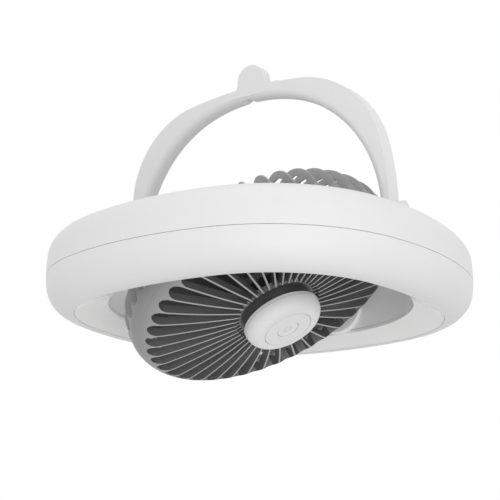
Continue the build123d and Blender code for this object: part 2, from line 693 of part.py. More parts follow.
# Front cage: hub plate with its neck, straight radial fins under a dome, and a rim with a tongue
with BuildPart() as front_grille:
    with BuildSketch(HEAD_SECTION):
        with BuildLine():
            start = degrees(acos(GROOVE_R / front_dome_r))
            dome = CenterArc((0, front_dome_c), front_dome_r, start, front_turn - start)
            seam_turn = degrees(asin((CAGE_SEAM_S - FRONT_EDGE[1]) / FRONT_EDGE_R))
            edge = CenterArc(FRONT_EDGE, FRONT_EDGE_R, front_turn, seam_turn - front_turn)
            inner_edge_r = FRONT_EDGE_R - FRONT_FIN_DEPTH
            tongue_turn = degrees(asin((TONGUE_S - FRONT_EDGE[1]) / inner_edge_r))
            inner_edge = chords(FRONT_EDGE, inner_edge_r, tongue_turn, front_turn - tongue_turn, 2)
            inner_dome_r = front_dome_r - FRONT_FIN_DEPTH
            inner_end = degrees(acos(GROOVE_R / inner_dome_r))
            inner_dome = chords((0, front_dome_c), inner_dome_r, front_turn, inner_end - front_turn, 1)
            Polyline(edge @ 1, (TONGUE_R, CAGE_SEAM_S), (TONGUE_R, TONGUE_S), inner_edge @ 0)
            Polyline(inner_dome @ 1, (GROOVE_R, HUB_FLOOR_S), (0, HUB_FLOOR_S), (0, GROOVE_S),
                     (NECK_BORE_R, GROOVE_S), (NECK_BORE_R, NECK_TOP_S), (NECK_R, NECK_TOP_S), (NECK_R, GROOVE_S),
                     (GROOVE_R, GROOVE_S), dome @ 0)
        make_face()
    revolve(axis=HEAD_AXIS)
    with BuildSketch(station(0)):
        with PolarLocations(0, FIN_COUNT, start_angle=FIN_PHASE + fin_pitch / 2):
            add(gap_plan.sketch)
    extrude(amount=40, mode=Mode.SUBTRACT)
    with BuildSketch(station(HUB_FLOOR_S)):
        with Locations((KEY_WIRE_R, 0)):
            Circle(1.6)
    extrude(amount=6, mode=Mode.SUBTRACT)
front_grille.part.label = "front_grille"
export_step(front_grille.part, "parts/front_grille.step")

GAP_REACH = CAGE_R + 6

# One gap of the rear cage, as a tool along +X: a wedge in plan with a round top end on the side wall
with BuildPart() as rear_gap:
    with BuildSketch(Plane.XY.offset(-40)):
        with BuildLine():
            Polyline((REAR_HUB_R, -gap_half_width(REAR_HUB_R)), (GAP_REACH, -gap_half_width(GAP_REACH)),
                     (GAP_REACH, gap_half_width(GAP_REACH)), (REAR_HUB_R, gap_half_width(REAR_HUB_R)), close=True)
        make_face()
    extrude(amount=60)
    with BuildSketch(Plane.YZ):
        Circle(gap_half_width(CAGE_R))
        with Locations((0, -20)):
            Rectangle(2 * gap_half_width(CAGE_R), 40)
    extrude(amount=GAP_REACH, mode=Mode.INTERSECT)

gap_turns = [FIN_PHASE + fin_pitch * (step + 0.5) for step in range(FIN_COUNT)]
open_turns = [turn for turn in gap_turns if min(turn % 180, 180 - turn % 180) > PIVOT_CLEAR]

# Rear cage: side wall, fins that wrap the rounded edge, hub plate for the motor, and the axle seats
with BuildPart() as rear_grille:
    with BuildSketch(HEAD_SECTION):
        with BuildLine():
            seam_s = CAGE_SEAM_S - CAGE_SEAM_GAP
            seam_turn = degrees(asin((seam_s - FRONT_EDGE[1]) / FRONT_EDGE_R))
            shoulder = CenterArc(FRONT_EDGE, FRONT_EDGE_R, seam_turn, -seam_turn)
            side = Line(shoulder @ 1, (CAGE_R, REAR_EDGE[1]))
            edge = CenterArc(REAR_EDGE, REAR_EDGE_R, 0, rear_turn)
            dome = CenterArc((0, rear_dome_c), rear_dome_r, rear_turn, -90 - rear_turn)
            inner_dome_r = rear_dome_r - REAR_FIN_DEPTH
            inner_start = -degrees(acos(PLATE_R / inner_dome_r))
            inner_dome = chords((0, rear_dome_c), inner_dome_r, inner_start, rear_turn - inner_start, 1)
            inner_edge = chords(REAR_EDGE, REAR_EDGE_R - REAR_FIN_DEPTH, rear_turn, -rear_turn, 3)
            Polyline(inner_edge @ 1, (CAGE_R - REAR_FIN_DEPTH, seam_s), shoulder @ 0)
            Polyline(dome @ 1, (0, PLATE_S), (PLATE_R, PLATE_S), inner_dome @ 0)
        make_face()
    revolve(axis=HEAD_AXIS)
    add([rear_gap.part.moved(HEAD.location * Location((0, 0, 0), (0, 0, turn))) for turn in open_turns],
        mode=Mode.SUBTRACT)
    for end in (1, -1):
        with BuildSketch(tilt_plane(end, SEAT_INNER_Y)):
            Circle(SEAT_R)
        extrude(amount=SEAT_OUTER_Y - SEAT_INNER_Y)
        with BuildSketch(tilt_plane(end, SEAT_INNER_Y)):
            Circle(AXLE_R - 1)
        extrude(amount=10, mode=Mode.SUBTRACT)
        with BuildSketch(tilt_plane(end, AXLE_INNER_Y)):
            Circle(AXLE_R)
        extrude(amount=10, mode=Mode.SUBTRACT)
    # screw holes for the motor base, sunk from the back
    with BuildSketch(station(REAR_APEX_S)):
        with PolarLocations(MOTOR_SCREW_R, 3):
            Circle(1.2)
    extrude(amount=10, mode=Mode.SUBTRACT)
    with BuildSketch(station(REAR_APEX_S)):
        with PolarLocations(MOTOR_SCREW_R, 3):
            Circle(2.8)
    extrude(amount=1.8, mode=Mode.SUBTRACT)
rear_grille.part.label = "rear_grille"
export_step(rear_grille.part, "parts/rear_grille.step")

# Hollow axles in the rear cage's seats, with a spring washer and a nut behind each spigot
with BuildPart() as tilt_axles:
    for end in (1, -1):
        with BuildSketch(tilt_plane(end, AXLE_INNER_Y)):
            Circle(AXLE_R)
            Circle(AXLE_BORE_R, mode=Mode.SUBTRACT)
        extrude(amount=AXLE_OUTER_Y - AXLE_INNER_Y)
tilt_axles.part.label = "tilt_axles"
export_step(tilt_axles.part, "parts/tilt_axles.step")

with BuildPart() as axle_spring_washers:
    for end in (1, -1):
        with BuildSketch(tilt_plane(end, SPIGOT_END_Y + RUNNING)):
            Circle(8.5)
            Circle(AXLE_R, mode=Mode.SUBTRACT)
        extrude(amount=SPRING_WASHER_T)
axle_spring_washers.part.label = "axle_spring_washers"
export_step(axle_spring_washers.part, "parts/axle_spring_washers.step")

with BuildPart() as axle_nuts:
    for end in (1, -1):
        with BuildSketch(tilt_plane(end, SPIGOT_END_Y + RUNNING + SPRING_WASHER_T)):
            RegularPolygon(8.0, 6)
            Circle(AXLE_R, mode=Mode.SUBTRACT)
        extrude(amount=3)
axle_nuts.part.label = "axle_nuts"
export_step(axle_nuts.part, "parts/axle_nuts.step")

# White collar on the cage's neck, which holds the key board
with BuildPart() as hub_collar:
    with BuildSketch(HEAD_SECTION):
        with BuildLine():
            Polyline((3, NECK_TOP_S), (NECK_R + 1, NECK_TOP_S), (COLLAR_R, KEY_BOARD_S), (COLLAR_R, COLLAR_TOP_S),
                     (NECK_BORE_R, COLLAR_TOP_S), (NECK_BORE_R, KEY_BOARD_S), (3, KEY_BOARD_S), close=True)
        make_face()
    revolve(axis=HEAD_AXIS)
hub_collar.part.label = "hub_collar"
export_step(hub_collar.part, "parts/hub_collar.step")

with BuildPart() as button_board:
    with BuildSketch(station(KEY_BOARD_S)):
        Circle(NECK_BORE_R - 0.4)
        Circle(2, mode=Mode.SUBTRACT)
    extrude(amount=BOARD_T)
button_board.part.label = "button_board"
export_step(button_board.part, "parts/button_board.step")

# Snap switches: one bridge under the middle key and four under the ring key
with BuildPart() as tact_switches:
    with BuildSketch(station(KEY_BOARD_S + BOARD_T)):
        Rectangle(7, 7)
        with PolarLocations(SWITCH_CIRCLE_R, 4):
            Rectangle(4, 4)
    extrude(amount=1.8)
    with BuildSketch(station(KEY_BOARD_S + BOARD_T + 1.8)):
        Circle(1.6)
        with PolarLocations(SWITCH_CIRCLE_R, 4):
            Circle(1.0)
    extrude(amount=0.9)
tact_switches.part.label = "tact_switches"
export_step(tact_switches.part, "parts/tact_switches.step")

# Domed cap with the round opening for the keys; its inner rim stands on the collar
with BuildPart() as hub_cap:
    with BuildSketch(HEAD_SECTION):
        with BuildLine():
            parting_s = COLLAR_TOP_S + KEY_GAP
            foot_r = COLLAR_R - CAP_WALL
            outside = ((COLLAR_R - 0.1, parting_s), (COLLAR_R - 1.6, CAP_FACE_S - 3.2), (CAP_FACE_R, CAP_FACE_S))
            inside = ((CAP_FACE_R - 1, CAP_UNDER_S), (COLLAR_R - 3.1, CAP_FACE_S - 4.2), (foot_r, parting_s))
            ThreePointArc(*outside)
            Polyline(outside[2], (KEY_HOLE_R, CAP_FACE_S), (KEY_HOLE_R, CAP_UNDER_S), inside[0])
            Line(inside[0], inside[1])
            Line(inside[1], inside[2])
            Polyline(inside[2], (foot_r, COLLAR_TOP_S), (foot_r + 0.7, COLLAR_TOP_S), (foot_r + 0.7, parting_s),
                     outside[0])
        make_face()
    revolve(axis=HEAD_AXIS)
hub_cap.part.label = "hub_cap"
export_step(hub_cap.part, "parts/hub_cap.step")

# Ring key: a flanged washer with four feet over the outer switches
with BuildPart() as selector_ring:
    with BuildSketch(HEAD_SECTION):
        with BuildLine():
            hole_r = BUTTON_R + KEY_GAP
            Polyline((hole_r, FLANGE_S), (SELECTOR_R + 1.2, FLANGE_S), (SELECTOR_R + 1.2, FLANGE_S + 0.7),
                     (SELECTOR_R, FLANGE_S + 0.7), (SELECTOR_R, CAP_FACE_S), (hole_r, CAP_FACE_S), close=True)
        make_face()
    revolve(axis=HEAD_AXIS)
    with BuildSketch(station(KEY_STEM_S)):
        with PolarLocations(SWITCH_CIRCLE_R, 4):
            Circle(1.2)
    extrude(amount=FLANGE_S - KEY_STEM_S)
selector_ring.part.label = "selector_ring"
export_step(selector_ring.part, "parts/selector_ring.step")

# Middle key: a slightly dished button on a flanged plunger, whose stem stands over the middle switch
PLUNGER_S = FLANGE_S - 0.6
PLUNGER_T = 0.5
with BuildPart() as power_button:
    with BuildSketch(HEAD_SECTION):
        with BuildLine():
            dish = ((0, CAP_FACE_S - 0.3), (BUTTON_R / 2, CAP_FACE_S - 0.22), (BUTTON_R - 0.3, CAP_FACE_S))
            ThreePointArc(*dish)
            Polyline(dish[2], (BUTTON_R, CAP_FACE_S - 0.2), (BUTTON_R, PLUNGER_S), (0, PLUNGER_S), dish[0])
        make_face()
    revolve(axis=HEAD_AXIS)
power_button.part.label = "power_button"
export_step(power_button.part, "parts/power_button.step")

with BuildPart() as power_plunger:
    with BuildSketch(station(PLUNGER_S)):
        Circle(BUTTON_R + 1.5)
    extrude(amount=-PLUNGER_T)
    with BuildSketch(station(KEY_STEM_S)):
        Circle(1.6)
    extrude(amount=PLUNGER_S - PLUNGER_T - KEY_STEM_S)
power_plunger.part.label = "power_plunger"
export_step(power_plunger.part, "parts/power_plunger.step")

# Motor base: flange on the rear hub plate with pegs for its board, and the tube for the bearings
with BuildPart() as motor_base:
    with BuildSketch(HEAD_SECTION):
        with BuildLine():
            bore_r = SHAFT_R + 1.7
            front_seat_s = TUBE_TOP_S - BEARING_WIDTH
            rear_seat_s = REAR_BEARING_S + BEARING_WIDTH
            Polyline((bore_r, PLATE_S), (20, PLATE_S), (20, FLANGE_TOP_S), (TUBE_R + 1, FLANGE_TOP_S),
                     (TUBE_R, FLANGE_TOP_S + 1), (TUBE_R, TUBE_TOP_S), (BEARING_R, TUBE_TOP_S),
                     (BEARING_R, front_seat_s), (bore_r, front_seat_s), (bore_r, rear_seat_s),
                     (BEARING_R, rear_seat_s), (BEARING_R, REAR_BEARING_S), (bore_r, REAR_BEARING_S), close=True)
        make_face()
    revolve(axis=HEAD_AXIS)
    with BuildSketch(station(FLANGE_TOP_S)):
        with PolarLocations(12, 3):
            Circle(1.4)
    extrude(amount=DRIVER_BOARD_S - FLANGE_TOP_S)
    with BuildSketch(station(PLATE_S)):
        with PolarLocations(MOTOR_SCREW_R, 3):
            Circle(1.2)
    extrude(amount=2, mode=Mode.SUBTRACT)
motor_base.part.label = "motor_base"
export_step(motor_base.part, "parts/motor_base.step")

with BuildPart() as bearings:
    for seat_s in (TUBE_TOP_S - BEARING_WIDTH, REAR_BEARING_S):
        with BuildSketch(station(seat_s)):
            Circle(BEARING_R)
            Circle(SHAFT_R + RUNNING, mode=Mode.SUBTRACT)
        extrude(amount=BEARING_WIDTH)
bearings.part.label = "bearings"
export_step(bearings.part, "parts/bearings.step")

# Screws from the back of the cage into the motor base
with BuildPart() as motor_screws:
    with BuildSketch(station(REAR_APEX_S + 0.2)):
        with PolarLocations(MOTOR_SCREW_R, 3):
            Circle(2.4)
            RegularPolygon(1.2, 6, mode=Mode.SUBTRACT)
    extrude(amount=1.0)
    with BuildSketch(station(REAR_APEX_S + 1.2)):
        with PolarLocations(MOTOR_SCREW_R, 3):
            Circle(2.4)
    extrude(amount=0.6)
    with BuildSketch(station(REAR_APEX_S + 1.8)):
        with PolarLocations(MOTOR_SCREW_R, 3):
            Circle(1.2)
    extrude(amount=FLANGE_TOP_S - REAR_APEX_S - 1.8)
motor_screws.part.label = "motor_screws"
export_step(motor_screws.part, "parts/motor_screws.step")

# Driver board round the tube, on the flange's pegs
with BuildPart() as driver_board:
    with BuildSketch(station(DRIVER_BOARD_S)):
        Circle(19)
        Circle(TUBE_R + 0.3, mode=Mode.SUBTRACT)
    extrude(amount=BOARD_T)
driver_board.part.label = "driver_board"
export_step(driver_board.part, "parts/driver_board.step")

# Laminated stator with T-shaped teeth and a coil round each tooth
with BuildPart() as stator_core:
    with BuildSketch(station(STACK_S)):
        Circle(STATOR_R)
        Circle(STATOR_R - 2.2, mode=Mode.SUBTRACT)
        with PolarLocations(STATOR_R, STATOR_TEETH, start_angle=180 / STATOR_TEETH):
            Rectangle(6, 2.0, mode=Mode.SUBTRACT)
        Circle(STATOR_HUB_R)
        with PolarLocations(TOOTH_MID_R, STATOR_TEETH):
            Rectangle(9, TOOTH_WIDTH)
        Circle(TUBE_R, mode=Mode.SUBTRACT)
    extrude(amount=STACK_HEIGHT)
stator_core.part.label = "stator_core"
export_step(stator_core.part, "parts/stator_core.step")

with BuildPart() as stator_windings:
    with BuildSketch(station(STACK_S - COIL_OVERHANG)):
        with PolarLocations(12.3, STATOR_TEETH):
            Trapezoid(7.2, 5.6, 63, rotation=90)
    extrude(amount=STACK_HEIGHT + 2 * COIL_OVERHANG)
    with BuildSketch(station(STACK_S)):
        with PolarLocations(TOOTH_MID_R, STATOR_TEETH):
            Rectangle(9, TOOTH_WIDTH)
    extrude(amount=STACK_HEIGHT, mode=Mode.SUBTRACT)
stator_windings.part.label = "stator_windings"
export_step(stator_windings.part, "parts/stator_windings.step")

# Rotor: steel can, magnet ring inside it, shaft, circlip and the bladed wheel over the can
with BuildPart() as rotor_can:
    with BuildSketch(HEAD_SECTION):
        with BuildLine():
            under_s = CAN_TOP_S - CAN_R + CAN_INNER_R
            Polyline((SHAFT_R, TUBE_TOP_S + 0.8), (3.2, TUBE_TOP_S + 0.8), (3.2, under_s), (CAN_INNER_R, under_s),
                     (CAN_INNER_R, CAN_SKIRT_S), (CAN_R, CAN_SKIRT_S), (CAN_R, CAN_TOP_S), (SHAFT_R, CAN_TOP_S),
                     close=True)
        make_face()
    revolve(axis=HEAD_AXIS)
rotor_can.part.label = "rotor_can"
export_step(rotor_can.part, "parts/rotor_can.step")

with BuildPart() as magnet_ring:
    with BuildSketch(station(-6.5)):
        Circle(CAN_INNER_R)
        Circle(MAGNET_INNER_R, mode=Mode.SUBTRACT)
    extrude(amount=11)
magnet_ring.part.label = "magnet_ring"
export_step(magnet_ring.part, "parts/magnet_ring.step")

with BuildPart() as motor_shaft:
    with BuildSketch(station(SHAFT_END_S)):
        Circle(SHAFT_R)
    extrude(amount=CAN_TOP_S - SHAFT_END_S)
    with BuildSketch(station(CIRCLIP_S)):
        Circle(SHAFT_R)
        Circle(SHAFT_R - 0.3, mode=Mode.SUBTRACT)
    extrude(amount=0.6, mode=Mode.SUBTRACT)
motor_shaft.part.label = "motor_shaft"
export_step(motor_shaft.part, "parts/motor_shaft.step")

with BuildPart() as shaft_circlip:
    with BuildSketch(station(CIRCLIP_S)):
        Circle(2.9)
        Circle(SHAFT_R - 0.3, mode=Mode.SUBTRACT)
        with Locations((2.2, 0)):
            Rectangle(3, 1.2, mode=Mode.SUBTRACT)
    extrude(amount=0.6)
shaft_circlip.part.label = "shaft_circlip"
export_step(shaft_circlip.part, "parts/shaft_circlip.step")


def blade_section(radius, chord, pitch, camber):
    """Curved strip across a blade at one radius; pitch is the angle of its chord to the wheel's plane."""
    along = Vector(cos(radians(pitch)), sin(radians(pitch)))
    up = Vector(-along.Y, along.X)
    lead = along * (chord / 2)
    half = up * (BLADE_THICKNESS / 2)
    crest = up * camber
    upper = ThreePointArc(lead + half, crest + half, half - lead)
    lower = ThreePointArc(-lead - half, crest - half, lead - half)
    Line(upper @ 1, lower @ 0)
    Line(lower @ 1, upper @ 0)


with BuildPart() as blade:
    for radius, chord, pitch, camber in BLADE_STATIONS:
        with BuildSketch(Plane(origin=(radius, 0, 0), x_dir=(0, 1, 0), z_dir=(1, 0, 0))):
            with BuildLine():
                blade_section(radius, chord, pitch, camber)
            make_face()
    loft()
    with BuildSketch(Plane.XY.offset(-30)):
        Circle(IMPELLER_R)
    extrude(amount=60, mode=Mode.INTERSECT)

with BuildPart() as impeller:
    with BuildSketch(HEAD_SECTION):
        with BuildLine():
            skirt_s = CAN_SKIRT_S - 1
            Polyline((0, CAN_TOP_S), (CAN_R, CAN_TOP_S), (CAN_R, skirt_s), (IMPELLER_HUB_R, skirt_s),
                     (IMPELLER_HUB_R, CAN_TOP_S), (IMPELLER_HUB_R - 3, CAN_TOP_S + 3), (0, CAN_TOP_S + 3), close=True)
        make_face()
    revolve(axis=HEAD_AXIS)
    add([blade.part.moved(HEAD.location * Location((0, 0, 0), (0, 0, 360 * turn / BLADE_COUNT)))
         for turn in range(BLADE_COUNT)])
    with BuildSketch(station(-20)):
        Circle(CAN_R)
    extrude(amount=CAN_TOP_S + 20, mode=Mode.SUBTRACT)
impeller.part.label = "impeller"
export_step(impeller.part, "parts/impeller.step")


def strand(points, radius):
    """Wire dressed along short straight runs through the given points."""
    with BuildPart() as wire:
        with BuildLine() as run:
            Polyline(*points)
        with BuildSketch(Plane(origin=run.line @ 0, z_dir=run.line % 0)):
            RegularPolygon(radius, 6)
        sweep(path=run.line, transition=Transition.RIGHT)
    return wire.part


def head_point(turn, r, s):
    """Point in the head: turn about the fan's axis, radius and station."""
    return HEAD.from_local_coords((r * cos(radians(turn)), r * sin(radians(turn)), s))


def ring_point(azimuth, r, z):
    """Point in the ring: azimuth, radius and height."""
    return ring_centre + Vector(r, 0, z).rotate(Axis.Z, azimuth)


def inside_edge(edge, edge_r, angle):
    """Radius and station of a wire laid inside one rounded edge of the cage, at an angle round that edge."""
    return edge[0] + edge_r * cos(radians(angle)), edge[1] + edge_r * sin(radians(angle))


# Two wires through the hollow axle: one behind a front fin to the keys, one along the rear rib to the motor
HEAD_WIRE_R = 0.5
front_lay_r = FRONT_EDGE_R - FRONT_FIN_DEPTH - 1.5
rear_lay_r = REAR_EDGE_R - REAR_FIN_DEPTH - 1.5
front_dome_lay_r = front_dome_r - FRONT_FIN_DEPTH - 1.5
rear_dome_lay_r = rear_dome_r - REAR_FIN_DEPTH - 1.2
front_run = [head_point(0, 103, 1.2), head_point(0, 92, 1.2), head_point(0, 82, 1.2)]
front_run += [head_point(FIN_PHASE / 2, 78.6, 3.2), head_point(FIN_PHASE, 78.2, 8.5)]
front_run += [head_point(FIN_PHASE, *inside_edge(FRONT_EDGE, front_lay_r, angle)) for angle in (46, 64, 80)]
front_run += [
    head_point(FIN_PHASE, r, front_dome_c + sqrt(front_dome_lay_r**2 - r**2)) for r in (60, 45, 32)
]
front_run += [head_point(FIN_PHASE, 25, HUB_FLOOR_S - 0.8), head_point(0, KEY_WIRE_R + 1, HUB_FLOOR_S - 0.8)]
front_run += [head_point(0, KEY_WIRE_R, HUB_FLOOR_S + 0.2), head_point(0, KEY_WIRE_R, GROOVE_S + 1)]
front_run += [head_point(0, 9, 27), head_point(0, 5, 28.2), head_point(0, 2.4, 29.4), head_point(0, 2.4, KEY_BOARD_S)]
rear_run = [head_point(0, 103, -1.2), head_point(0, 92, -1.2), head_point(0, 82, -1.2)]
rear_run += [head_point(0, 78.6, -3.2), head_point(0, 78.4, -8.5)]
rear_run += [head_point(0, *inside_edge(REAR_EDGE, rear_lay_r, angle)) for angle in (-44, -62, -80)]
rear_run += [head_point(0, r, rear_dome_c - sqrt(rear_dome_lay_r**2 - r**2)) for r in (52, 38, 28)]
rear_run += [head_point(0, 22, -20.2), head_point(0, 19, DRIVER_BOARD_S + BOARD_T / 2)]
with BuildPart() as head_wires:
    add(strand(front_run, HEAD_WIRE_R))
    add(strand(rear_run, HEAD_WIRE_R))
head_wires.part.label = "head_wires"
export_step(head_wires.part, "parts/head_wires.step")

# Wires in the ring: from the axle and from each cell to the control board, and down to the lamp board
axle_run = [ring_point(90, 104, 0), ring_point(90, 107.5, 0), ring_point(93, 111, 0.4), ring_point(99, 109, 2)]
axle_run += [ring_point(105, 104.5, 3), ring_point(110, 103.2, 3.4), ring_point(116, 105.5, 3)]
axle_run += [ring_point(120, 109.2, 2)]
lamp_run = [ring_point(144, 104, -1.65), ring_point(144, 104, -3.5), ring_point(145.2, 103.8, -9)]
lamp_run += [ring_point(145.2, 103.8, LAMP_BOARD_Z + 1.65)]
# turn from the board's middle, radius and height of each cell's wire
CELL_RUN = ((73, 111.2, 3), (70.5, 115, 3), (67, 119.8, 3), (63, 120.3, 2.4), (45, 119.4, 1.8), (27, 120.3, 1.4),
            (13.5, 119.5, 1.1))
with BuildPart() as ring_wires:
    add(strand(axle_run, RING_WIRE_R))
    add(strand(lamp_run, RING_WIRE_R))
    for side in (1, -1):
        add(strand([ring_point(BOARD_AZIMUTH + side * turn, r, z) for turn, r, z in CELL_RUN], RING_WIRE_R))
ring_wires.part.label = "ring_wires"
export_step(ring_wires.part, "parts/ring_wires.step")
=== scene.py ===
# %% [markdown]
# # A hanging ring fan, dressed around its construction
# The frame brings every piece of the fan at its real size and place, so no shape is made here. This
# lesson gives the pieces their finishes, prints the sign on the middle key, and sets up the studio.

# %% Load the frame
import json
from math import cos, radians, sin

import bpy
from mathutils import Matrix, Vector

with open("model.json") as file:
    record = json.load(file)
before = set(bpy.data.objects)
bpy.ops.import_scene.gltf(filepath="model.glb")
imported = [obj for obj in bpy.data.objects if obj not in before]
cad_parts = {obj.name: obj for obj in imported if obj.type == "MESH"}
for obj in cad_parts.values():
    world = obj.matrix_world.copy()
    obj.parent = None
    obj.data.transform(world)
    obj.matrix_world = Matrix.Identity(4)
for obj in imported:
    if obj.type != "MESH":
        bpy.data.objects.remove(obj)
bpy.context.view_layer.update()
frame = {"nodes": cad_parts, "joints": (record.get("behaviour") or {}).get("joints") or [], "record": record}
joints = {joint["name"]: joint for joint in frame["joints"]}
ring_centre = Vector(joints["head_tilt"]["pos_m"])
fan_axis = Vector(joints["rotor_spin"]["axis"]).normalized()
tilt_axis = Vector(joints["head_tilt"]["axis"]).normalized()
MM = 0.001
print("pieces in the frame:", len(frame["nodes"]))

# %% [markdown]
# ## Shader maths as plain expressions
# A finish is a small network of nodes, which could be wired by hand in the shader editor. Written as
# arithmetic it stays short enough to read: a class around a socket lets +, -, * and < add their Math
# nodes, and one method makes every other kind of node.

# %% A socket that takes part in arithmetic


class Flow:
    """A value that varies over a surface."""

    def __init__(self, network, socket):
        self.network = network
        self.socket = socket

    def maths(self, operation, first, second=0):
        return self.network.node("ShaderNodeMath", {"operation": operation}, {0: first, 1: second})

    def __add__(self, other):
        return self.maths("ADD", self, other)

    def __sub__(self, other):
        return self.maths("SUBTRACT", self, other)

    def __rsub__(self, other):
        return self.maths("SUBTRACT", other, self)

    def __mul__(self, other):
        return self.maths("MULTIPLY", self, other)

    def __lt__(self, limit):
        return self.maths("LESS_THAN", self, limit)

    def __gt__(self, limit):
        return self.maths("GREATER_THAN", self, limit)

    def __abs__(self):
        return self.maths("ABSOLUTE", self)

    __radd__ = __add__
    __rmul__ = __mul__

    def root(self):
        return self.maths("SQRT", self)

    def either(self, other):
        return self.maths("MAXIMUM", self, other)

    def swing(self, amount):
        """The same pattern round zero, with that amount between its ends."""
        return amount * (self - 0.5)


print("a value takes + - * < > and abs(), and each adds a Math node")

# %% A tree of nodes, and a finish made of one


class Network:
    """A tree of nodes that is built from expressions."""

    def __init__(self, tree):
        self.tree = tree

    def node(self, kind, settings=(), inputs=(), output=0):
        """One node: its settings, then the values or links of its sockets. A ramp has two stops."""
        made = self.tree.nodes.new(kind)
        for key, value in dict(settings).items():
            if key == "stops":
                for element, (position, level) in zip(made.color_ramp.elements, value):
                    element.position = position
                    element.color = (level, level, level, 1)
            else:
                setattr(made, key, value)
        for key, value in dict(inputs).items():
            if isinstance(value, Flow):
                self.tree.links.new(value.socket, made.inputs[key])
            else:
                made.inputs[key].default_value = value
        return Flow(self, made.outputs[output])


class Finish(Network):
    """One material: a principled surface and the nodes that vary it."""

    def __init__(self, name, **constants):
        self.material = bpy.data.materials.new(name)
        self.material.use_nodes = True
        super().__init__(self.material.node_tree)
        self.shader = self.tree.nodes["Principled BSDF"]
        for socket, value in constants.items():
            self.shader.inputs[socket.replace("_", " ")].default_value = value

    def vary(self, **flows):
        for socket, flow in flows.items():
            self.tree.links.new(flow.socket, self.shader.inputs[socket.replace("_", " ")])

    def place(self):
        """Where a point lies on its piece, in metres."""
        return self.node("ShaderNodeTexCoord", output="Object")

    def noise(self, size, detail=3, rough=0.5):
        """Cloudy values from 0 to 1 with patches of about that size, in metres."""
        inputs = {"Vector": self.place(), "Scale": 1 / size, "Detail": detail, "Roughness": rough}
        return self.node("ShaderNodeTexNoise", inputs=inputs)

    def tint(self, amount, dark, light):
        """A colour between two, by an amount from 0 to 1; each is a tuple or another tint."""
        ends = [colour if isinstance(colour, Flow) else (*colour, 1) for colour in (dark, light)]
        inputs = {"Factor": amount, "A": ends[0], "B": ends[1]}
        return self.node("ShaderNodeMix", {"data_type": "RGBA"}, inputs, output=2)

    def vector(self, operation, first, second=(0, 0, 0), output="Vector"):
        """Vector maths; the Value output holds a dot product or a length."""
        return self.node("ShaderNodeVectorMath", {"operation": operation}, {0: first, 1: second}, output)

    def ramp(self, amount, *stops):
        """A value from 0 to 1 reshaped by two stops of position and level."""
        return self.node("ShaderNodeValToRGB", {"stops": stops}, {0: amount})

    def bump(self, height, depth):
        """Normals of a surface whose height varies by that depth, in metres."""
        inputs = {"Height": height, "Distance": depth, "Strength": 1.0}
        return self.node("ShaderNodeBump", inputs=inputs)


print("a finish can:", [name for name in {**vars(Network), **vars(Finish)} if not name.startswith("_")])

# %% [markdown]
# ## The finishes
# The housings are satin white plastic. A flat white would look like paper, and a picture wrapped round
# the ring would show a seam, so noise in the piece's own space does the work: a fine grain, like that
# of a textured mould, breaks up the highlights, and the colour drifts by a hair over a hand's width.

# %% The skin of a moulded piece
CLOUD_SWING = 0.10
GRAIN_SWING = 0.08
GRAIN_SHARPNESS = 0.6


def grey(value, warmth=0.0):
    return (value * (1 + warmth), value, value * (1 - warmth))


def mould_skin(finish, cloud, grain, rough, depth):
    """Slow clouds for the colour, the roughness and the normals; sizes and depth are in millimetres."""
    clouds = finish.noise(cloud * MM)
    texture = finish.noise(grain * MM, rough=GRAIN_SHARPNESS)
    roughness = rough + clouds.swing(CLOUD_SWING) + texture.swing(GRAIN_SWING)
    return clouds, roughness, finish.bump(texture, depth * MM)


print("the gloss swings by", CLOUD_SWING, "over the clouds and by", GRAIN_SWING, "over the grain")

# %% Moulded plastics
HOUSING_CLOUD = 60
CAP_GRAIN = 0.25
CAP_ROUGH = 0.38
CAP_DEPTH = 0.004


def moulded(name, shade, grain=0.35, rough=0.45, spread=0.03, depth=0.006, warmth=0.0, **constants):
    """Plastic of one colour that drifts by the spread; grain and depth are in millimetres."""
    finish = Finish(name, **constants)
    clouds, roughness, normal = mould_skin(finish, HOUSING_CLOUD, grain, rough, depth)
    low, high = grey(shade * (1 - spread), warmth), grey(shade * (1 + spread), warmth)
    finish.vary(Base_Color=finish.tint(clouds, low, high), Roughness=roughness, Normal=normal)
    return finish.material


white_satin = moulded("white_satin", shade=0.78, rough=0.46)
cap_white = moulded("cap_white", shade=0.80, grain=CAP_GRAIN, rough=CAP_ROUGH, depth=CAP_DEPTH)
# painted light: a glossier white that is also painted lighter than the housing white
gloss_white_painted_light = moulded(
    "gloss_white_painted_light", shade=0.88, grain=0.9, rough=0.24, depth=0.0012, Coat_Weight=0.35, Coat_Roughness=0.14,
)
blade_grey = moulded("blade_grey", shade=0.045, grain=0.4, rough=0.5, spread=0.06)
milky = moulded(
    "milky", shade=0.87, grain=0.8, rough=0.2, depth=0.001, warmth=0.004,
    Subsurface_Weight=0.25, Subsurface_Scale=0.004, Subsurface_Radius=(1, 1, 1),
    Coat_Weight=0.5, Coat_Roughness=0.10,
)
nylon = moulded("nylon", shade=0.62, grain=0.5, rough=0.5, warmth=0.02)
wire_cover = moulded("wire_cover", shade=0.05, grain=0.6, rough=0.4, spread=0.1)
print("moulded plastics:", len(bpy.data.materials))

# %% [markdown]
# The cages are one grey moulding each, and their colour carries painted light and shade. In front the
# faces of the fins are painted light and their flanks painted nearly black as shade, the rim is painted
# darker as shade, and the neck under the cap is painted dark as the shadow of a gap. Painting every fin
# by hand would take a mask for each of them. Here the painted shade follows from the surface itself: the
# normal of a flank points round the fan's axis and that of a face never does, and the neck and the rim
# lie at known distances from the axis. The rear fins stand open and are painted pale all round.

# %% Grey cages with painted light and shade that follow their own surface
CAGE_CLOUD = 40
CAGE_GRAIN = 0.3
CAGE_DEPTH = 0.005
FACE_ROUGH = 0.36
FLANK_ROUGHER = 0.14
FLANK_FROM = 0.10
FLANK_FULL = 0.5
